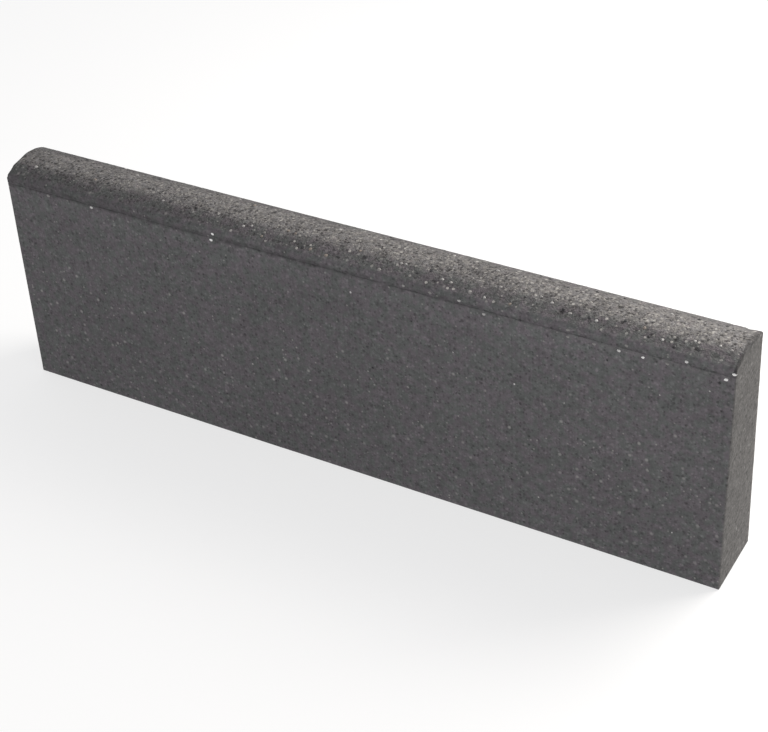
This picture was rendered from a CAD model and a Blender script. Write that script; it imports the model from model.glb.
import bpy
import math
import numpy as np
from mathutils import Vector, Matrix, geometry


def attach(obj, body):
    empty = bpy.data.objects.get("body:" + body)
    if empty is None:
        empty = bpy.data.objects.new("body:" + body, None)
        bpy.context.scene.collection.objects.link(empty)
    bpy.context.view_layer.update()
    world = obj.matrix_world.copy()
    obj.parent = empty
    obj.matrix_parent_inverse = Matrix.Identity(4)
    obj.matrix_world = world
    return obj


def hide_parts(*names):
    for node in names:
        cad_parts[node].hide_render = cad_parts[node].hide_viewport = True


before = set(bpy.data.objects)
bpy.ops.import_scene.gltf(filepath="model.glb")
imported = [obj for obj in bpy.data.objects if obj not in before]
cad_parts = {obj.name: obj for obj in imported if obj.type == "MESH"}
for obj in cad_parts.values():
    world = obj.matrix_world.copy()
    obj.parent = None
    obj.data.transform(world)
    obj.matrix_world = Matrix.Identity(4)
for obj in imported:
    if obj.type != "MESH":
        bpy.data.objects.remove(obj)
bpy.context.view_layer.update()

# ---------------------------------------------------------------- sizes, mm
LEN = 600.0
HALF = LEN / 2
FOOT = 28.5          # half thickness at the foot
DRAFT = 4.5
CREASE = 180.0
HIGH = 193.0
SIDE = FOOT - DRAFT  # half thickness at the crease and above it
CR, KR = 48.0, 3.0   # crown and corner radii
CROWN_Z = HIGH - CR
KY = SIDE - KR
KZ = CROWN_Z + math.sqrt((CR - KR) ** 2 - KY ** 2)
TURN = math.atan2(KZ - CROWN_Z, KY)
SIDE_LEN = KZ - CREASE
CORNER_LEN = KR * TURN
HALF_LEN = SIDE_LEN + CORNER_LEN + CR * (math.pi / 2 - TURN)


# ---------------------------------------------------------------- noise
def smooth(lo, hi, v):
    t = np.clip((np.asarray(v, float) - lo) / (hi - lo), 0, 1)
    return t * t * (3 - 2 * t)


def lattice(i, j, k, seed):
    h = (i * 73856093) ^ (j * 19349663) ^ (k * 83492791) ^ (seed * 2654435761)
    h &= 0xFFFFFFFF
    h = (((h >> 16) ^ h) * 0x45D9F3B) & 0xFFFFFFFF
    h = (((h >> 16) ^ h) * 0x45D9F3B) & 0xFFFFFFFF
    h = (h >> 16) ^ h
    return h / 4294967295.0


def noise(p, size, seed):
    """Smooth value noise from -1 to 1 over points in mm, one hump per size."""
    q = p / size
    f = np.floor(q)
    i = f.astype(np.int64)
    t = q - f
    t = t * t * t * (t * (t * 6 - 15) + 10)
    out = np.zeros(len(p))
    for a in (0, 1):
        wa = t[:, 0] if a else 1 - t[:, 0]
        for b in (0, 1):
            wb = t[:, 1] if b else 1 - t[:, 1]
            for c in (0, 1):
                wc = t[:, 2] if c else 1 - t[:, 2]
                out += wa * wb * wc * lattice(i[:, 0] + a, i[:, 1] + b, i[:, 2] + c, seed)
    return out * 2 - 1


def cells(p, size, seed):
    """Distance in mm to the nearest and next seed point, and the nearest one's own two random numbers."""
    q = p / size
    i = np.floor(q).astype(np.int64)
    best = np.full(len(p), 1e9)
    second = np.full(len(p), 1e9)
    one = np.zeros(len(p))
    two = np.zeros(len(p))
    for a in (-1, 0, 1):
        for b in (-1, 0, 1):
            for c in (-1, 0, 1):
                n = i + np.array([a, b, c])
                pt = n + np.stack([lattice(n[:, 0], n[:, 1], n[:, 2], seed + s) for s in (1, 2, 3)], 1)
                d = np.sqrt(((pt - q) ** 2).sum(1))
                near = d < best
                second = np.where(near, best, np.minimum(second, d))
                r1 = lattice(n[:, 0], n[:, 1], n[:, 2], seed + 4)
                r2 = lattice(n[:, 0], n[:, 1], n[:, 2], seed + 5)
                one = np.where(near, r1, one)
                two = np.where(near, r2, two)
                best = np.where(near, d, best)
    return best * size, second * size, one, two


def line_noise(x, size, seed):
    return noise(np.stack([x, np.zeros_like(x), np.zeros_like(x)], 1), size, seed)


# ---------------------------------------------------------------- mesh help
def make_mesh(name, points_mm, faces, attributes=None, flat=False):
    me = bpy.data.meshes.new(name)
    me.from_pydata((np.asarray(points_mm) / 1000.0).tolist(), [], faces)
    me.validate()
    for key, values in (attributes or {}).items():
        a = me.attributes.new(key, "FLOAT", "POINT")
        a.data.foreach_set("value", np.asarray(values, np.float32))
    me.polygons.foreach_set("use_smooth", np.full(len(me.polygons), not flat))
    me.update()
    ob = bpy.data.objects.new(name, me)
    bpy.context.scene.collection.objects.link(ob)
    return ob


# ---------------------------------------------------------------- stones of the CAD model
def balls(node):
    """Centre and radius, in mm, of each ball in a node."""
    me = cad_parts[node].data
    pts = np.empty(len(me.vertices) * 3)
    me.vertices.foreach_get("co", pts)
    pts = pts.reshape(-1, 3) * 1000
    edges = np.empty(len(me.edges) * 2, np.int32)
    me.edges.foreach_get("vertices", edges)
    edges = edges.reshape(-1, 2)
    key = np.round(pts, 3)
    _, same = np.unique(key, axis=0, return_inverse=True)
    same = same.reshape(-1)
    root = np.arange(same.max() + 1)
    ea, eb = same[edges[:, 0]], same[edges[:, 1]]
    while True:
        low = np.minimum(root[ea], root[eb])
        new = root.copy()
        np.minimum.at(new, ea, low)
        np.minimum.at(new, eb, low)
        new = new[new]
        if (new == root).all():
            break
        root = new
    label = root[same]
    out = []
    for k in np.unique(label):
        q = pts[label == k]
        lo, hi = q.min(0), q.max(0)
        out.append((*((lo + hi) / 2), float((hi - lo).max() / 2)))
    return sorted(out)


STONES = {n: balls(n) for n in ("quartz_grains", "sandstone_grains", "basalt_grains")}
ALL_STONES = np.array([s for n in sorted(STONES) for s in STONES[n]])

# ---------------------------------------------------------------- outline of the block
# Rows run round the block, foot to crown up the front, then down the back.
# Each is (y, z, normal y, normal z, level, nose, lip), and a row at level 2
# has a vertex at every fourth station along the length, level 0 at each.
PITCH = 0.9


def half_rows():
    rows = []
    y = 0.0
    while y > -25.5:
        rows.append((y, 0.0, 0.0, -1.0, 2, 0.0, 0.0))
        y -= 3.5
    rows.append((-26.4, 0.0, 0.0, -1.0, 2, 0.0, 0.0))
    slope = DRAFT / CREASE
    fn = np.array([-1.0, slope]) / math.hypot(1, slope)
    for deg in (-90, -125, -155, -180):
        a = math.radians(deg)
        cy, cz = -FOOT + 0.52, 0.5
        rows.append((cy + 0.5 * math.cos(a), cz + 0.5 * math.sin(a), math.cos(a), math.sin(a), 2, 0.0, 0.0))
    zs = [1.9, 3.3]
    while zs[-1] + 2.4 < 172.0:
        zs.append(zs[-1] + 2.4)
    for z in zs:
        rows.append((-(FOOT - slope * z), z, fn[0], fn[1], 2, 0.0, 0.0))
    for z in (zs[-1] + 1.9, zs[-1] + 3.5):
        rows.append((-(FOOT - slope * z), z, fn[0], fn[1], 1, 0.0, 0.0))
    z = zs[-1] + 4.6
    while z < CREASE - 1.5:
        rows.append((-(FOOT - slope * z), z, fn[0], fn[1], 0, 0.0, float(smooth(CREASE - 5.5, CREASE - 1.2, z))))
        z += 0.9
    # the lip, the groove behind it, and the start of the nose's upright side
    for inset, z, lip in ((-0.02, CREASE - 1.05, 1.0), (0.06, CREASE - 0.78, 1.0), (0.26, CREASE - 0.52, 0.6),
                          (0.50, CREASE - 0.26, 0.2), (0.62, CREASE + 0.02, 0.0), (0.46, CREASE + 0.32, 0.0),
                          (0.22, CREASE + 0.62, 0.0), (0.05, CREASE + 0.9, 0.0)):
        rows.append((-(SIDE - inset), z, -1.0, 0.0, 0, 0.0, lip))
    n = int(round((HALF_LEN - 1.5) / PITCH))
    for i in range(n + 1):
        s = 1.5 + (HALF_LEN - 1.5) * i / n
        if s <= SIDE_LEN:
            y, z, ny, nz = SIDE, CREASE + s, 1.0, 0.0
        elif s <= SIDE_LEN + CORNER_LEN:
            a = (s - SIDE_LEN) / KR
            y, z, ny, nz = KY + KR * math.cos(a), KZ + KR * math.sin(a), math.cos(a), math.sin(a)
        else:
            a = TURN + (s - SIDE_LEN - CORNER_LEN) / CR
            y, z, ny, nz = CR * math.cos(a), CROWN_Z + CR * math.sin(a), math.cos(a), math.sin(a)
        # the upright side was rubbed by the mould, the crown left open
        rows.append((-y, z, -ny, nz, 0, float(0.30 * smooth(0.8, 2.6, s) + 0.70 * smooth(5.5, 15, s)), 0.0))
    return rows


front = half_rows()
back = [(-y, z, -ny, nz, lv, ns, lp) for y, z, ny, nz, lv, ns, lp in front[1:-1][::-1]]
ROWS = np.array(front + back)
R = len(ROWS)
LEVEL = ROWS[:, 4].astype(int)

# ---------------------------------------------------------------- stations along the length
edge_steps = [0, .08, .18, .30, .45, .62, .82, 1.05, 1.35, 1.7, 2.1, 2.6, 3.2, 3.9, 4.7, 5.6, 6.5]
inner = LEN - 2 * edge_steps[-1]
n_in = int(round(inner / PITCH / 4)) * 4
XS = np.array([-HALF + e for e in edge_steps]
              + [-HALF + edge_steps[-1] + inner * i / n_in for i in range(1, n_in)]
              + [HALF - e for e in edge_steps[::-1]])
N = len(XS) - 1
assert N % 4 == 0

# full grid of base points, rows by stations
GY = np.repeat(ROWS[:, 0][:, None], N + 1, 1)
GZ = np.repeat(ROWS[:, 1][:, None], N + 1, 1)
GX = np.repeat(XS[None, :], R, 0)
used = np.zeros((R, N + 1), bool)
for r in range(R):
    used[r, ::1 << LEVEL[r]] = True
index = np.full((R, N + 1), -1, np.int64)
index[used] = np.arange(used.sum())
rr, jj = np.nonzero(used)
base = np.stack([GX[used], GY[used], GZ[used]], 1)
ny, nz = ROWS[rr, 2], ROWS[rr, 3]
nose_mask, lip_mask = ROWS[rr, 5], ROWS[rr, 6]
is_back = base[:, 1] > 0


# ---------------------------------------------------------------- relief
def nose_relief(p):
    """Height in mm of the open, rough face of the nose, and how hidden each point is."""
    warp = np.stack([noise(p, 2.6, 301), noise(p, 2.6, 302), noise(p, 2.6, 303)], 1) * 0.7
    q = p + warp
    h = 0.14 * noise(p, 38, 311) + 0.11 * noise(p, 15, 312) + 0.10 * noise(p, 6.5, 313)
    f1, f2, a, b = cells(q, 3.8, 321)
    coarse = (1 - smooth(0.1, 2.2, f1)) * (0.15 + 0.85 * a)
    h += 0.36 * coarse
    g1, g2, c, d = cells(q, 2.2, 341)
    fine = (1 - smooth(0.05, 1.3, g1)) * (0.2 + 0.8 * c)
    h += 0.32 * fine
    # open pits, more of them in some stretches than in others
    open_ = 0.5 + 0.5 * noise(p, 55, 351)
    k1, _, e, f = cells(q, 7.0, 361)
    r = 0.9 + 1.5 * f
    pit = (e < 0.14 + 0.30 * open_) * (1 - smooth(0.35, 1.0, k1 / r))
    m1, _, u, v = cells(q, 4.2, 381)
    r2 = 0.6 + 0.7 * v
    small = (u < 0.34) * (1 - smooth(0.4, 1.1, m1 / r2))
    h -= (0.55 + 0.5 * f) * pit + 0.5 * small
    h -= 0.30
    hide = np.clip(0.9 * pit + 0.75 * small + 0.5 * smooth(-0.18, -0.5, h), 0, 1)
    return h, hide


near = nose_mask > 0
H = np.zeros(len(base))
HIDE = np.zeros(len(base))
h, hide = nose_relief(base[near])
H[near] = h * nose_mask[near]
HIDE[near] = hide * nose_mask[near]

# the long faces and the foot are nearly flat
flat = ~near
H[flat] = (0.07 * noise(base[flat], 110, 401) + 0.035 * noise(base[flat], 34, 402)
           + 0.02 * noise(base[flat], 12, 403))
foot = (ROWS[rr, 3] < -0.9)
H[foot] = -np.abs(0.10 * noise(base[foot], 14, 405)) - 0.05 * np.abs(noise(base[foot], 6, 406))

# the relief dies away towards the ends, where the arris takes over
H *= 0.35 + 0.65 * smooth(0.3, 4.0, HALF - np.abs(base[:, 0]))
P = base.copy()
P[:, 1] += ny * H
P[:, 2] += nz * H

# the groove: its bottom lies in shadow, and it silts up in places
in_groove = (np.abs(base[:, 2] - CREASE) < 4.0) & (np.abs(base[:, 1]) > SIDE - 1.4)
silt = np.where(base[:, 1] < 0, 0.5 + 0.5 * line_noise(base[:, 0], 23, 430), 0.5 + 0.5 * line_noise(base[:, 0], 23, 431))
fill = 0.22 * noise(base[in_groove], 2.6, 436) + 0.12 * noise(base[in_groove], 1.3, 437) + 0.15 * silt[in_groove]
fill += smooth(-60, 220, base[in_groove, 0]) * (0.16 + 0.12 * noise(base[in_groove], 3.7, 441))
P[in_groove, 1] += np.sign(base[in_groove, 1]) * fill * (1 - smooth(0.3, 1.3, np.abs(base[in_groove, 2] - CREASE)))
gx, gz = base[in_groove, 0], base[in_groove, 2] - CREASE
wide = 3.5 - 1.3 * smooth(-100, 280, gx) + 0.8 * noise(base[in_groove], 3.4, 433) + 0.7 * noise(base[in_groove], 1.7, 434)
drift = 0.6 * line_noise(gx, 5.5, 438) + 0.3 * line_noise(gx, 2.4, 439) + 0.1
beads = 1 + 0.30 * noise(base[in_groove], 2.2, 440)
HIDE[in_groove] = np.maximum(HIDE[in_groove], (0.66 - 0.27 * smooth(-100, 280, gx) - 0.12 * silt[in_groove]) * beads
                             * (1 - smooth(0.25, 1.0, np.abs(gz - drift) / wide)))

# lip of the long faces: a thin ragged edge with nicks where it broke away
for back_side in (False, True):
    m = (lip_mask > 0) & (is_back == back_side)
    x = base[m, 0]
    sd = 520 if back_side else 500
    rag = 0.28 * line_noise(x, 9, sd) + 0.36 * line_noise(x, 3.2, sd + 1) + 0.22 * line_noise(x, 41, sd + 2)
    cell = np.floor(x / 26.0)
    nick = np.zeros_like(x)
    for off in (-1, 0, 1):
        ci = (cell + off).astype(np.int64)
        z0 = np.zeros_like(ci)
        cx = (ci + lattice(ci, z0, z0, sd + 7)) * 26.0
        on = lattice(ci, z0, z0, sd + 8) < 0.5
        w = 1.2 + 2.6 * lattice(ci, z0, z0, sd + 9)
        dep = 0.30 + 0.6 * lattice(ci, z0, z0, sd + 10)
        nick = np.maximum(nick, on * dep * (1 - smooth(0.3, 1.0, np.abs(x - cx) / w)))
    lm = lip_mask[m]
    P[m, 2] += lm * (rag - nick)
    P[m, 1] -= np.sign(base[m, 1]) * lm * (0.10 * np.abs(line_noise(x, 5, sd + 12)) + 0.55 * nick)
    HIDE[m] = np.maximum(HIDE[m], 0.6 * lm * smooth(0.15, 0.5, nick))

# the crease runs a little out of level along the block
tilt = smooth(168, 176, base[:, 2]) * (1 - smooth(182.5, 186, base[:, 2]))
P[:, 2] += tilt * 0.8 * base[:, 0] / HALF

# stones: the concrete lies back a little round each, so that it stands in a seat
for sx, sy, sz, sr in ALL_STONES:
    d = np.sqrt(((base - np.array([sx, sy, sz])) ** 2).sum(1))
    m = d < sr + 2.2
    if not m.any():
        continue
    dip = 0.28 * (1 - smooth(sr * 0.75, sr + 0.9, d[m])) * np.where(nose_mask[m] > 0.5, 1.0, 0.35)
    P[m, 1] -= ny[m] * dip
    P[m, 2] -= nz[m] * dip
    HIDE[m] = np.maximum(HIDE[m], 0.45 * (1 - smooth(sr * 0.9, sr + 0.9, d[m])) * nose_mask[m])

# ---------------------------------------------------------------- worn end arrises
s_pos = np.stack([np.zeros(len(base)), base[:, 1], base[:, 2]], 1)
on_nose = smooth(CREASE + 1.0, CREASE + 4.5, base[:, 2])
far_crown = smooth(HIGH - 6, HIGH - 1.5, base[:, 2]) * smooth(-4, 5, base[:, 1])


# distance round the nose from the front crease, through the crown, to the back
ROUND = np.where((np.abs(base[:, 1]) > SIDE - 1.3) & (base[:, 2] < KZ), base[:, 2] - CREASE,
                 HALF_LEN + CR * np.arcsin(np.clip(base[:, 1] / CR, -1, 1)))
BROKEN_AT = (0, 4, 6.5, 10, 13, 16, 20, 24, 28, 33, 40, 44, 60)
BROKEN_BY = (0.0, 0.2, 2.6, 4.2, 2.6, 1.5, 1.9, 2.2, 2.0, 0.9, 0.6, 0.2, 0.2)


def arris(end):
    """Radius in mm of the worn arris round one end, for each vertex."""
    sd = 610 if end < 0 else 640
    q = s_pos + np.array([end * 500.0, 0, 0])
    r = 0.55 + 0.2 * noise(q, 11, sd) + 0.2 * noise(q, 4.5, sd + 1)
    if end < 0:
        r = r + on_nose * (np.interp(ROUND, BROKEN_AT, BROKEN_BY) + 0.35 * noise(q, 5, sd + 2))
    else:
        r = r + on_nose * (0.20 + 0.35 * noise(q, 5, sd + 3)) + far_crown * 0.5
        r = r + 1.4 * (1 - smooth(0.5, 6, base[:, 2])) * smooth(20, 27, base[:, 1])
    f1, _, a, b = cells(q, 16.0, sd + 4)
    rad = 1.6 + 2.6 * b
    chip = (a < 0.34) * (1 - smooth(0.25, 1.0, f1 / rad))
    return np.clip(r + chip * (0.6 + 1.3 * b), 0.35, 5.5)


WEAR = np.zeros(len(base))
deepest = 2.2 + 2.4 * (1 - smooth(16, 21, np.abs(base[:, 1])))
deepest = 0.4 + (deepest - 0.4) * smooth(1.0, 6.0, base[:, 2])
for end in (-1, 1):
    rad = arris(end)
    away = HALF - end * base[:, 0]
    m = away < rad
    t = 1 - away[m] / rad[m]
    inset = np.minimum(rad[m], deepest[m]) * (1 - np.sqrt(np.clip(1 - t ** 2, 0, None)))
    P[m, 1] -= ny[m] * inset
    P[m, 2] -= nz[m] * inset
    WEAR = np.maximum(WEAR, 0.7 * (1 - smooth(0.4, 1.9, away / np.maximum(rad, 0.9))) * (1 - on_nose))
    # crumbs are missing along the nose's own arris, which leaves a dark broken line
    crumb = smooth(-0.35, 0.25, noise(s_pos + np.array([end * 500.0, 0, 0]), 2.4, 660 + end))
    HIDE = np.maximum(HIDE, on_nose * (0.55 + 0.40 * crumb) * (1 - smooth(1.2, 2.6, away)))
    if end > 0:
        HIDE = np.maximum(HIDE, 0.70 * far_crown * (1 - smooth(2.0, 4.5, away)))
# one small piece has broken from the back of the crown close to the right end
d = np.sqrt((((base - np.array([291.6, 20.5, 188.4])) / np.array([1.0, 1.5, 1.5])) ** 2).sum(1))
dent = 0.6 * (1 - smooth(1.0, 4.2, d + 0.5 * noise(base, 2.2, 690)))
P[:, 1] -= ny * dent
P[:, 2] -= nz * dent
HIDE = np.maximum(HIDE, 0.9 * dent)
# a corner that would cross the foot plane stays on it
P[:, 2] = np.maximum(P[:, 2], 0.0)
WEAR = np.maximum(WEAR, 0.5 * (1 - smooth(0.2, 2.2, base[:, 2])) * (ROWS[rr, 3] > -0.95))
WEAR = np.maximum(WEAR, lip_mask * (0.15 + 0.85 * smooth(-60, 260, base[:, 0])))
# the pale open skin of the crown, from the corners up, uneven at its border
border = np.abs(base[:, 1]) + 1.6 * noise(base, 6, 671) + 1.2 * noise(base, 17, 672) + 0.8 * noise(base, 2.6, 673)
border = np.where(base[:, 1] > 0, border * 0.62, border)
SKIN = (1 - smooth(4.5, 15.5, border)) * (base[:, 2] > CREASE + 2)

# ---------------------------------------------------------------- faces of the tube
faces = []
for r in range(R):
    q = (r + 1) % R
    la, lb = LEVEL[r], LEVEL[q]
    if la == lb:
        st = 1 << la
        for j in range(0, N, st):
            faces.append((index[r, j], index[r, j + st], index[q, j + st], index[q, j]))
    else:
        # one side has a vertex halfway along each of the other's steps
        up = la > lb
        co, fi = (r, q) if up else (q, r)
        st = 1 << max(la, lb)
        assert abs(la - lb) == 1
        for j in range(0, N, st):
            h_ = st // 2
            a, b = index[co, j], index[co, j + st]
            c, d, e = index[fi, j], index[fi, j + h_], index[fi, j + st]
            if up:
                faces += [(a, b, d), (a, d, c), (b, e, d)]
            else:
                faces += [(a, d, b), (a, c, d), (b, d, e)]

# ---------------------------------------------------------------- end caps
pts = [P]
extra = {"nose": [nose_mask], "hide": [HIDE], "wear": [WEAR], "skin": [SKIN]}
count = len(P)
for end, station in ((-1, 0), (1, N)):
    ring = index[:, station]
    loop = P[ring][:, 1:]
    coords = [Vector((float(a), float(b))) for a, b in loop]
    inside = []
    z = 2.0
    k = 0
    poly = loop
    while z < HIGH:
        step = 2.8 if z < 168 else 1.3
        y = -28.0 + (step / 2 if k % 2 else 0)
        while y < 28:
            inside.append((y + 0.15 * step * math.sin(k * 12.9 + y * 7.1), z))
            y += step
        z += step * 0.87
        k += 1
    inside = np.array(inside)
    # keep points inside the ring and clear of it
    x0, y0 = poly[:, 0], poly[:, 1]
    x1, y1 = np.roll(x0, -1), np.roll(y0, -1)
    keep = np.zeros(len(inside), bool)
    for i, (px, py) in enumerate(inside):
        cross = ((y0 > py) != (y1 > py)) & (px < (x1 - x0) * (py - y0) / (y1 - y0 + 1e-12) + x0)
        if cross.sum() % 2 == 0:
            continue
        dx, dy = x1 - x0, y1 - y0
        t = np.clip(((px - x0) * dx + (py - y0) * dy) / (dx * dx + dy * dy + 1e-12), 0, 1)
        dist = np.hypot(px - x0 - t * dx, py - y0 - t * dy).min()
        keep[i] = dist > (1.5 if py < 168 else 0.75)
    inside = inside[keep]
    verts2 = coords + [Vector((float(a), float(b))) for a, b in inside]
    n_ring = len(coords)
    out = geometry.delaunay_2d_cdt(verts2, [(i, (i + 1) % n_ring) for i in range(n_ring)], [], 1, 1e-6)
    vs, _, tris, orig = out[0], out[1], out[2], out[3]
    if len(vs) != len(verts2):
        made = [tuple(round(c, 2) for c in v) for v, o in zip(vs, orig) if not o]
        raise RuntimeError("the end outline crosses itself near %s" % made)
    where = np.empty(len(vs), np.int64)
    q3 = np.stack([np.full(len(inside), end * HALF), inside[:, 0], inside[:, 1]], 1)
    deep = np.abs(0.06 * noise(q3, 30, 711)) + 0.05 * np.abs(noise(q3, 7, 712))
    q3[:, 0] -= end * deep
    for new, olds in enumerate(orig):
        o = olds[0]
        where[new] = ring[o] if o < n_ring else count + (o - n_ring)
    pts.append(q3)
    n_new = len(inside)
    extra["nose"].append(np.zeros(n_new))
    rot_ = 0.80 * smooth(186.5, 190.5, q3[:, 2] + 1.2 * noise(q3, 5, 721)) * smooth(-9, 1, q3[:, 1]) if end > 0 else np.zeros(n_new)
    extra["hide"].append(rot_)
    extra["wear"].append(np.zeros(n_new))
    extra["skin"].append(np.zeros(n_new))
    count += n_new
    for t in tris:
        a, b, c = (where[i] for i in t)
        faces.append((a, b, c) if end > 0 else (a, c, b))
P = np.concatenate(pts)
extra = {k: np.concatenate(v) for k, v in extra.items()}
faces = [tuple(int(i) for i in f) for f in faces]
block = make_mesh("block", P, faces, extra)

import bmesh
bm = bmesh.new()
bm.from_mesh(block.data)
bmesh.ops.recalc_face_normals(bm, faces=bm.faces)
if bm.calc_volume(signed=True) < 0:
    bmesh.ops.reverse_faces(bm, faces=bm.faces)
open_edges = sum(1 for e in bm.edges if not e.is_manifold)
print("block: faces", len(bm.faces), "triangles", sum(len(f.verts) - 2 for f in bm.faces),
      "open edges", open_edges, "volume mm3", bm.calc_volume() * 1e9)
bm.to_mesh(block.data)
bm.free()
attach(block, "root")
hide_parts("concrete_block")


# ---------------------------------------------------------------- the stones
def surface_normal(x, y, z):
    """Outward normal of the block nearest a stone's centre."""
    side = -1.0 if y < 0 else 1.0
    if z < CREASE:
        slope = DRAFT / CREASE
        return np.array([0, side, slope]) / math.hypot(1, slope)
    if z < KZ:
        return np.array([0, side, 0.0])
    if math.atan2(z - CROWN_Z, abs(y)) > TURN:
        v = np.array([0, y, z - CROWN_Z])
    else:
        v = np.array([0, y - side * KY, z - KZ])
    return v / np.linalg.norm(v)


BRIGHT = (-107, -105, 236, 259, 293, 298)
FAINT = (-260, 182, 201, 224, 253)
MIDDLE = (-218, 219, 266)


def stone_group(name, node, seed, lively):
    """Broken grains, one in the place of each ball: facets cut across an uneven pebble."""
    rng = np.random.default_rng(seed)
    bmi = bmesh.new()
    bmesh.ops.create_icosphere(bmi, subdivisions=3, radius=1.0)
    dirs = np.array([v.co for v in bmi.verts])
    dirs /= np.linalg.norm(dirs, axis=1)[:, None]
    tri = [tuple(v.index for v in f.verts) for f in bmi.faces]
    bmi.free()
    vs, fs, ids = [], [], []
    for x, y, z, r in STONES[node]:
        n = surface_normal(x, y, z)
        planes = rng.normal(size=(11, 3))
        planes /= np.linalg.norm(planes, axis=1)[:, None]
        planes = np.vstack([planes, n + 0.25 * rng.normal(size=3)])
        planes[-1] /= np.linalg.norm(planes[-1])
        offs = rng.uniform(0.66, 0.92, len(planes))
        offs = np.maximum(offs, 0.97 - 0.3 * (1 - planes @ n).clip(0, 1))
        offs[-1] = 0.96
        dots = dirs @ planes.T
        lim = np.where(dots > 0.05, offs / np.maximum(dots, 0.05), 9.0)
        # a soft least-of-planes keeps each edge slightly rounded
        k = 26.0
        rad = -np.log(np.exp(-k * lim).sum(1) + math.exp(-k * 1.0)) / k
        rad = np.minimum(rad, 1.0)
        stretch = np.array([1.0, 1.0, 1.0])
        p = dirs * rad[:, None] * stretch * r
        # longer one way in the surface
        t = np.cross(n, [1, 0, 0]) if abs(n[0]) < 0.9 else np.array([0, 1, 0])
        t /= np.linalg.norm(t)
        at_crease = abs(z - CREASE) < 4
        ang = rng.uniform(-0.35, 0.35) if at_crease else rng.uniform(0, math.pi)
        u = np.array([1.0, 0, 0]) * math.cos(ang) + t * math.sin(ang)
        p += np.outer(p @ u, u) * (0.45 if at_crease else lively)
        p += (p - np.outer(p @ n, n)) * (0.15 if at_crease else 0.35 if z < HIGH - 8 else 0.25)
        p += 0.02 * r * rng.normal(size=(len(p), 1)) * dirs
        fs += [tuple(len(vs) + i for i in f) for f in tri]
        vs += list(p + np.array([x, y, z]))
        seen = y < 0 and z < KZ
        white, faint, middle = (seen and min(abs(x - b) for b in group) < 1.6 for group in (BRIGHT, FAINT, MIDDLE))
        shade = rng.uniform()
        shade = 0.9 + 0.1 * shade if white else 0.06 * shade if faint else 0.5 + 0.1 * shade if middle else (0.40 if z > KZ else 0.5) * shade
        ids += [shade] * len(p)
    ob = make_mesh(name, np.array(vs), fs, {"stone": ids})
    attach(ob, "root")
    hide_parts(node)
    return ob


quartz = stone_group("quartz", "quartz_grains", 5, 0.12)
sandstone = stone_group("sandstone", "sandstone_grains", 6, 0.16)
basalt = stone_group("basalt", "basalt_grains", 7, 0.14)


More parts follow.
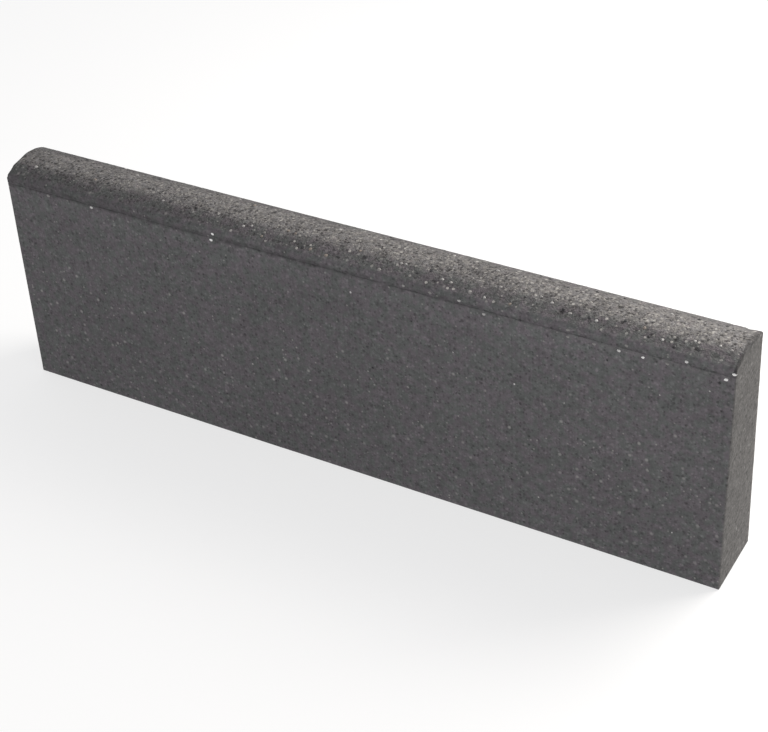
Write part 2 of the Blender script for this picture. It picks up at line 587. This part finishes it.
# ---------------------------------------------------------------- materials
class Nodes:
    """A short way to write a node tree."""

    def __init__(self, name):
        self.mat = bpy.data.materials.new(name)
        self.mat.use_nodes = True
        self.nt = self.mat.node_tree
        self.nt.nodes.clear()
        self.out = self.nt.nodes.new("ShaderNodeOutputMaterial")
        self.bsdf = self.nt.nodes.new("ShaderNodeBsdfPrincipled")
        self.nt.links.new(self.bsdf.outputs[0], self.out.inputs[0])
        tc = self.nt.nodes.new("ShaderNodeTexCoord")
        mm = self.nt.nodes.new("ShaderNodeVectorMath")
        mm.operation = "SCALE"
        mm.inputs["Scale"].default_value = 1000.0
        self.nt.links.new(tc.outputs["Object"], mm.inputs[0])
        self.mm = mm.outputs[0]

    def put(self, socket, value):
        if isinstance(value, bpy.types.NodeSocket):
            self.nt.links.new(value, socket)
        elif isinstance(value, (tuple, list)) and len(value) == 3 and socket.type == "RGBA":
            socket.default_value = (*value, 1)
        else:
            socket.default_value = value

    def math(self, op, a, b=0.0, c=0.0, clamp=False):
        n = self.nt.nodes.new("ShaderNodeMath")
        n.operation = op
        n.use_clamp = clamp
        for s, v in zip(n.inputs, (a, b, c)):
            self.put(s, v)
        return n.outputs[0]

    def vec(self, op, a, b=None, scale=None):
        n = self.nt.nodes.new("ShaderNodeVectorMath")
        n.operation = op
        self.put(n.inputs[0], a)
        if b is not None:
            self.put(n.inputs[1], b)
        if scale is not None:
            self.put(n.inputs["Scale"], scale)
        return n.outputs["Value"] if op in ("LENGTH", "DISTANCE", "DOT_PRODUCT") else n.outputs[0]

    def noise(self, size, detail=2.0, rough=0.5, at=None, shift=0.0):
        n = self.nt.nodes.new("ShaderNodeTexNoise")
        n.noise_dimensions = "3D"
        v = at or self.mm
        if shift:
            v = self.vec("ADD", v, (shift, shift * 1.7, shift * 0.6))
        self.put(n.inputs["Vector"], v)
        n.inputs["Scale"].default_value = 1.0 / size
        n.inputs["Detail"].default_value = detail
        n.inputs["Roughness"].default_value = rough
        return n.outputs["Fac"] if "Fac" in n.outputs else n.outputs[0]

    def cells(self, size, at=None, shift=0.0, feature="F1"):
        """Distance in cell widths, and the cell's own random colour."""
        n = self.nt.nodes.new("ShaderNodeTexVoronoi")
        n.voronoi_dimensions = "3D"
        n.feature = feature
        v = at or self.mm
        if shift:
            v = self.vec("ADD", v, (shift, shift * 1.3, shift * 2.1))
        self.put(n.inputs["Vector"], v)
        n.inputs["Scale"].default_value = 1.0 / size
        col = n.outputs["Color"] if "Color" in n.outputs else None
        return n.outputs["Distance"], col

    def split(self, colour):
        n = self.nt.nodes.new("ShaderNodeSeparateColor")
        self.put(n.inputs[0], colour)
        return n.outputs[0], n.outputs[1], n.outputs[2]

    def ramp(self, value, lo, hi, to_lo=0.0, to_hi=1.0):
        n = self.nt.nodes.new("ShaderNodeMapRange")
        n.interpolation_type = "SMOOTHSTEP"
        n.clamp = True
        self.put(n.inputs["Value"], value)
        n.inputs["From Min"].default_value = lo
        n.inputs["From Max"].default_value = hi
        self.put(n.inputs["To Min"], to_lo)
        self.put(n.inputs["To Max"], to_hi)
        return n.outputs[0]

    def mix(self, fac, a, b, mode="MIX"):
        n = self.nt.nodes.new("ShaderNodeMix")
        n.data_type = "RGBA"
        n.blend_type = mode
        n.clamp_factor = True
        self.put(n.inputs[0], fac)
        self.put(n.inputs[6], a)
        self.put(n.inputs[7], b)
        return n.outputs[2]

    def attr(self, name):
        n = self.nt.nodes.new("ShaderNodeAttribute")
        n.attribute_name = name
        return n.outputs["Fac"]

    def tint(self, colour, by):
        """A colour times a number."""
        n = self.nt.nodes.new("ShaderNodeVectorMath")
        n.operation = "SCALE"
        self.put(n.inputs[0], colour)
        self.put(n.inputs["Scale"], by)
        return n.outputs[0]

    def bump(self, height, distance, strength=1.0, normal=None):
        n = self.nt.nodes.new("ShaderNodeBump")
        n.inputs["Distance"].default_value = distance
        self.put(n.inputs["Strength"], strength)
        self.put(n.inputs["Height"], height)
        if normal is not None:
            self.put(n.inputs["Normal"], normal)
        return n.outputs[0]


def concrete():
    m = Nodes("charcoal_concrete")
    nose = m.attr("nose")
    skin = m.attr("skin")
    hide = m.attr("hide")
    wear = m.attr("wear")
    face = m.math("SUBTRACT", 1.0, nose)
    ax = m.nt.nodes.new("ShaderNodeSeparateXYZ")
    m.put(ax.inputs[0], m.mm)
    along = m.ramp(ax.outputs[0], -300.0, 300.0)
    up = m.math("MULTIPLY_ADD", ax.outputs[2], 0.10 / 180.0, 0.935)
    up = m.math("MULTIPLY", up, m.ramp(ax.outputs[2], 150.0, 178.0, 1.0, m.ramp(ax.outputs[2], 179.6, 180.6, 1.085, 1.035)))
    cut = m.ramp(m.math("ABSOLUTE", ax.outputs[0]), 299.0, 299.7)

    # tone: broad clouds, mottling a few millimetres across, then single grains
    broad = m.ramp(m.noise(58, 2, 0.5), 0.3, 0.7, 0.965, 1.035)
    mid = m.ramp(m.noise(6.0, 3, 0.6, shift=40), 0.30, 0.70, 0.90, 1.10)
    sand_d, sand_col = m.cells(1.25, shift=11)
    s1, s2, s3 = m.split(sand_col)
    grit_d, grit_col = m.cells(2.5, shift=77)
    g1, g2, g3 = m.split(grit_col)
    sand_amp = m.math("MULTIPLY_ADD", skin, 0.30, 0.08)
    sand = m.math("MULTIPLY_ADD", m.math("SUBTRACT", s1, 0.5), sand_amp, 1.0)
    grit_amp = m.math("MULTIPLY_ADD", skin, 0.30, 0.12)
    grit = m.math("MULTIPLY_ADD", m.math("SUBTRACT", g1, 0.5), grit_amp, 1.0)
    fine = m.ramp(m.noise(0.8, 2, 0.6, shift=5), 0.25, 0.75, 0.95, 1.05)
    tone = m.math("MULTIPLY", m.math("MULTIPLY", broad, mid), m.math("MULTIPLY", sand, grit))
    tone = m.math("MULTIPLY", tone, m.math("MULTIPLY", fine, up))
    # round grains just under the skin, some lighter than the paste and some darker
    rough_cut = m.math("MULTIPLY_ADD", cut, 0.28, m.math("MULTIPLY", nose, -0.24))
    dots = 0.0
    for size, strength, shift in ((5.2, 0.40, 1360), (3.4, 0.78, 1010), (2.3, 0.82, 1130), (1.6, 0.30, 1270)):
        dd, dc = m.cells(size, shift=shift)
        da, _, _ = m.split(dc)
        swing = m.math("MULTIPLY", m.math("SUBTRACT", da, 0.5), m.ramp(dd, 0.15, 0.52, 1.0, 0.0))
        dots = m.math("ADD", dots, m.math("MULTIPLY", swing, m.math("ADD", rough_cut, strength)))
    tone = m.math("MULTIPLY", tone, m.math("ADD", 1.0, dots))

    # the mould face, the darker rubbed side of the nose, and the open crown
    face_a = (0.1148, 0.1036, 0.1132)
    face_b = (0.1012, 0.1048, 0.1036)
    face_col = m.mix(m.ramp(m.noise(7.0, 2, 0.6, shift=260), 0.38, 0.62), face_a, face_b)
    face_col = m.mix(cut, face_col, m.tint((0.1110, 0.1065, 0.1030), m.math("MULTIPLY_ADD", ax.outputs[2], -0.28 / 180.0, 1.12)))
    # how much darker the nose is than the faces: its upright side, then the shoulder over it
    low = m.math("MULTIPLY", m.ramp(ax.outputs[0], -290.0, -40.0, 0.23, 0.04), m.ramp(ax.outputs[2], 180.2, 180.8))
    corner = m.ramp(ax.outputs[0], -290.0, 0.0, 0.16, -0.06)
    high = m.ramp(along, 0.0, 1.0, 0.20, 0.10)
    side = m.math("MULTIPLY_ADD", m.math("SUBTRACT", corner, low), m.ramp(ax.outputs[2], 182.6, 185.4), low)
    side = m.math("MULTIPLY_ADD", m.math("SUBTRACT", high, side), m.ramp(ax.outputs[2], 186.8, 189.0), side)
    base = m.tint(face_col, m.math("MULTIPLY", m.math("SUBTRACT", 1.0, side), m.ramp(along, 0.35, 0.9, 0.915, 1.01)))
    crown_a = (0.140, 0.136, 0.137)
    crown_b = (0.160, 0.153, 0.147)
    crown_c = (0.154, 0.140, 0.141)
    warm = m.ramp(m.noise(3.4, 2, 0.6, shift=130), 0.44, 0.60)
    pink = m.ramp(m.noise(5.0, 2, 0.6, shift=210), 0.58, 0.68)
    crown_col = m.mix(warm, crown_a, crown_b)
    crown_col = m.mix(m.math("MULTIPLY", pink, 0.7), crown_col, crown_c)
    col = m.mix(skin, base, m.tint(crown_col, m.math("MULTIPLY", m.ramp(ax.outputs[0], 90.0, 290.0, 0.97, 1.12), m.ramp(ax.outputs[0], -120.0, 20.0, 1.01, 0.965))))
    col = m.tint(col, tone)

    # pale grains of sand lie open on the crown, more of them towards one end
    many = m.math("MULTIPLY_ADD", along, 0.10, 0.10)
    pale = m.math("GREATER_THAN", m.math("ADD", g2, many), 0.93)
    pale = m.math("MULTIPLY", pale, m.ramp(grit_d, 0.30, 0.52, 1.0, 0.0))
    pale2 = m.math("GREATER_THAN", m.math("ADD", s2, many), 0.985)
    pale2 = m.math("MULTIPLY", pale2, m.ramp(sand_d, 0.30, 0.55, 1.0, 0.0))
    open_skin = m.math("MULTIPLY_ADD", skin, 0.75, m.math("MULTIPLY", m.ramp(nose, 0.1, 0.9), 0.25))
    lit = m.math("MULTIPLY", m.math("MAXIMUM", pale, m.math("MULTIPLY", pale2, 0.8)), open_skin)
    col = m.mix(m.math("MULTIPLY", lit, m.math("MULTIPLY_ADD", g3, 0.5, 0.3)), col, (0.34, 0.325, 0.305))
    patch = m.ramp(m.noise(24, 2, 0.5, shift=930), 0.35, 0.65, 0.0, 0.12)
    gone = m.math("MULTIPLY", m.math("LESS_THAN", g2, m.math("ADD", 0.19, patch)), m.ramp(grit_d, 0.32, 0.56, 1.0, 0.0))
    gone2 = m.math("MULTIPLY", m.math("LESS_THAN", s2, m.math("ADD", 0.10, patch)), m.ramp(sand_d, 0.38, 0.60, 1.0, 0.0))
    gone = m.math("MAXIMUM", gone, m.math("MULTIPLY", gone2, 0.85))
    spared = m.math("MULTIPLY", along, m.math("MULTIPLY", m.math("SUBTRACT", 1.0, skin), 0.40))
    gone = m.math("MULTIPLY", gone, m.math("MULTIPLY", m.math("SUBTRACT", 1.0, spared), m.math("MULTIPLY_ADD", nose, 0.74, 0.12)))
    col = m.mix(gone, col, (0.036, 0.034, 0.035))

    # and single larger ones, a good deal commoner towards the same end
    dp, cp = m.cells(4.4, shift=1410)
    p1, p2, p3 = m.split(cp)
    bead = m.math("GREATER_THAN", m.math("MULTIPLY_ADD", along, 0.34, p1), 1.0)
    bead = m.math("MULTIPLY", bead, m.ramp(dp, 0.20, 0.30, 1.0, 0.0))
    bead = m.math("MULTIPLY", bead, m.ramp(nose, 0.2, 0.5))
    col = m.mix(m.math("MULTIPLY", bead, m.math("MULTIPLY_ADD", p2, 0.5, 0.35)), col, (0.42, 0.405, 0.385))

    # pinholes of trapped air in the mould faces
    d, c = m.cells(7.5, shift=300)
    a, b, _ = m.split(c)
    hole = m.math("MULTIPLY", m.ramp(d, 0.04, 0.10, 1.0, 0.0), m.ramp(a, 0.66, 0.68))
    d2, c2 = m.cells(3.1, shift=340)
    a2, _, _ = m.split(c2)
    hole2 = m.math("MULTIPLY", m.ramp(d2, 0.08, 0.20, 1.0, 0.0), m.ramp(a2, 0.76, 0.78))
    holes = m.math("MAXIMUM", hole, m.math("MULTIPLY", hole2, 0.6))

    # soft pale spots where a grain lies just under the skin, and a few bright ones
    d3, c3 = m.cells(6.5, shift=400)
    a3, b3, e3 = m.split(c3)
    spot = m.math("MULTIPLY", m.ramp(d3, 0.08, 0.29, 1.0, 0.0), m.ramp(a3, 0.67, 0.69))
    spot = m.math("MULTIPLY", spot, m.math("MULTIPLY_ADD", m.math("POWER", b3, 2.2), 0.46, 0.12))
    d4, c4 = m.cells(2.4, shift=450)
    a4, b4, _ = m.split(c4)
    gate = m.math("SUBTRACT", 0.95, m.math("MULTIPLY", nose, 0.06))
    speck4 = m.math("MULTIPLY", m.ramp(d4, 0.16, 0.42, 1.0, 0.0), m.math("GREATER_THAN", a4, gate))
    col = m.mix(m.math("MULTIPLY", holes, m.math("MULTIPLY", face, 0.55)), col, (0.04, 0.039, 0.04))
    col = m.mix(spot, col, (0.33, 0.32, 0.31))
    col = m.mix(m.math("MULTIPLY", speck4, m.math("MULTIPLY_ADD", b4, 0.35, 0.15)), col, (0.36, 0.35, 0.33))
    # depth and wear
    col = m.mix(m.math("MULTIPLY", hide, 0.72), col, (0.030, 0.029, 0.030))
    rub = m.math("MULTIPLY", wear, m.ramp(m.noise(2.6, 2, 0.6, shift=600), 0.35, 0.65, 0.0, 0.55))
    col = m.mix(rub, col, (0.165, 0.160, 0.160))
    m.put(m.bsdf.inputs["Base Color"], col)

    rough = m.ramp(m.noise(3.0, 3, 0.6, shift=700), 0.3, 0.7, 0.80, 0.95)
    glint = m.math("MAXIMUM", spot, speck4)
    rough = m.math("SUBTRACT", rough, m.math("MULTIPLY", glint, 0.35))
    m.put(m.bsdf.inputs["Roughness"], rough)
    m.bsdf.inputs["Specular IOR Level"].default_value = 0.35

    # height, in mm
    grain_h = m.ramp(sand_d, 0.0, 0.75, 1.0, 0.0)
    grit_h = m.ramp(grit_d, 0.0, 0.8, 1.0, 0.0)
    gravel = m.noise(3.8, 3, 0.62, shift=800)
    h = m.math("MULTIPLY", grain_h, m.math("MULTIPLY_ADD", nose, 0.19, 0.05))
    h = m.math("ADD", h, m.math("MULTIPLY", grit_h, m.math("MULTIPLY_ADD", nose, 0.30, 0.04)))
    h = m.math("ADD", h, m.math("MULTIPLY", gravel, m.math("MULTIPLY_ADD", nose, 0.14, 0.07)))
    h = m.math("ADD", h, m.math("MULTIPLY", m.math("MAXIMUM", bead, dots), 0.10))
    h = m.math("SUBTRACT", h, m.math("MULTIPLY", gone, 0.30))
    h = m.math("ADD", h, m.math("MULTIPLY", m.noise(0.9, 2, 0.6, shift=830), m.math("MULTIPLY_ADD", nose, 0.08, 0.03)))
    h = m.math("SUBTRACT", h, m.math("MULTIPLY", holes, m.math("MULTIPLY", face, 0.40)))
    h = m.math("ADD", h, m.math("MULTIPLY", glint, 0.08))
    m.put(m.bsdf.inputs["Normal"], m.bump(h, 0.001, 1.0))
    return m.mat


def stone(name, dark, light, rough, size, bump_mm, spec=0.5):
    m = Nodes(name)
    own = m.attr("stone")
    n1 = m.noise(size, 3, 0.6)
    n2 = m.noise(size * 0.3, 2, 0.6, shift=9)
    f = m.math("ADD", m.math("MULTIPLY", n1, 0.3), m.math("MULTIPLY", own, 0.85))
    col = m.mix(m.ramp(f, 0.1, 1.0), dark, light)
    col = m.tint(col, m.ramp(n2, 0.3, 0.7, 0.85, 1.12))
    m.put(m.bsdf.inputs["Base Color"], col)
    m.put(m.bsdf.inputs["Roughness"], m.ramp(n2, 0.3, 0.7, rough - 0.08, rough + 0.08))
    m.bsdf.inputs["Specular IOR Level"].default_value = spec
    h = m.math("ADD", m.math("MULTIPLY", n1, bump_mm), m.math("MULTIPLY", n2, bump_mm * 0.5))
    m.put(m.bsdf.inputs["Normal"], m.bump(h, 0.001, 1.0))
    return m.mat


def dress(ob, mat):
    ob.data.materials.clear()
    ob.data.materials.append(mat)


dress(block, concrete())
dress(quartz, stone("quartz", (0.20, 0.19, 0.185), (0.86, 0.85, 0.84), 0.35, 0.8, 0.05, 0.5))
dress(sandstone, stone("sandstone", (0.19, 0.165, 0.15), (0.36, 0.31, 0.27), 0.82, 0.5, 0.10, 0.3))
dress(basalt, stone("basalt", (0.030, 0.030, 0.033), (0.072, 0.070, 0.072), 0.55, 0.6, 0.08, 0.5))

# ---------------------------------------------------------------- floor
fm = Nodes("studio_floor")
fm.put(fm.bsdf.inputs["Base Color"], (0.37, 0.37, 0.37))
fm.bsdf.inputs["Roughness"].default_value = 0.9
fm.bsdf.inputs["Specular IOR Level"].default_value = 0.1
fm.bsdf.inputs["Emission Color"].default_value = (1, 1, 1, 1)
fm.bsdf.inputs["Emission Strength"].default_value = 0.65
fp = 30000.0
floor = make_mesh("floor", [(-fp, -fp, 0), (fp, -fp, 0), (fp, fp, 0), (-fp, fp, 0)], [(0, 1, 2, 3)])
floor.location.z = -0.0002
dress(floor, fm.mat)

# ---------------------------------------------------------------- light
world = bpy.data.worlds.new("studio")
bpy.context.scene.world = world
world.use_nodes = True
wn = world.node_tree
wn.nodes.clear()
wo = wn.nodes.new("ShaderNodeOutputWorld")
bg = wn.nodes.new("ShaderNodeBackground")
wn.links.new(bg.outputs[0], wo.inputs[0])
tc = wn.nodes.new("ShaderNodeTexCoord")
sep = wn.nodes.new("ShaderNodeSeparateXYZ")
wn.links.new(tc.outputs["Generated"], sep.inputs[0])
cr = wn.nodes.new("ShaderNodeValToRGB")
wn.links.new(sep.outputs[2], cr.inputs[0])
e = cr.color_ramp.elements
e[0].position, e[0].color = 0.0, (0.66, 0.66, 0.66, 1)
e[1].position, e[1].color = 1.0, (0.60, 0.60, 0.61, 1)
k = cr.color_ramp.elements.new(0.16)
k.color = (0.64, 0.64, 0.64, 1)
k = cr.color_ramp.elements.new(0.36)
k.color = (0.54, 0.54, 0.55, 1)
wn.links.new(cr.outputs[0], bg.inputs[0])
bg.inputs[1].default_value = 1.0


def softbox(name, at, to, size, power, colour=(1, 1, 1)):
    data = bpy.data.lights.new(name, "AREA")
    data.shape = "RECTANGLE"
    data.size, data.size_y = size
    data.energy = power
    data.color = colour
    ob = bpy.data.objects.new(name, data)
    ob.location = at
    ob.rotation_mode = "QUATERNION"
    ob.rotation_quaternion = (Vector(to) - Vector(at)).to_track_quat("-Z", "Y")
    ob.visible_camera = False
    bpy.context.scene.collection.objects.link(ob)
    return ob


softbox("key", (0.54, 0.60, 0.75), (0.12, 0.0, 0.17), (0.7, 0.7), 12.6, (1.0, 0.955, 0.90))

# ---------------------------------------------------------------- camera
cam_data = bpy.data.cameras.new("camera")
cam = bpy.data.objects.new("camera", cam_data)
bpy.context.scene.collection.objects.link(cam)
cam_data.sensor_fit = "HORIZONTAL"
cam_data.sensor_width = 36.0
cam_data.lens = 83.6451
cam_data.clip_start, cam_data.clip_end = 0.05, 100.0
right = Vector((0.8653367, 0.4978335, -0.0579148))
down = Vector((0.2540747, -0.5353423, -0.8055152))
fwd = Vector((-0.4320167, 0.6823272, -0.5897382))
rot = Matrix((right, -down, -fwd)).transposed()
cam.rotation_mode = "QUATERNION"
cam.rotation_quaternion = rot.to_quaternion()
cam.location = (0.5948679, -0.9073032, 0.8704919)
bpy.context.scene.camera = cam
bpy.context.scene.view_settings.view_transform = "Standard"
bpy.context.scene.view_settings.look = "None"
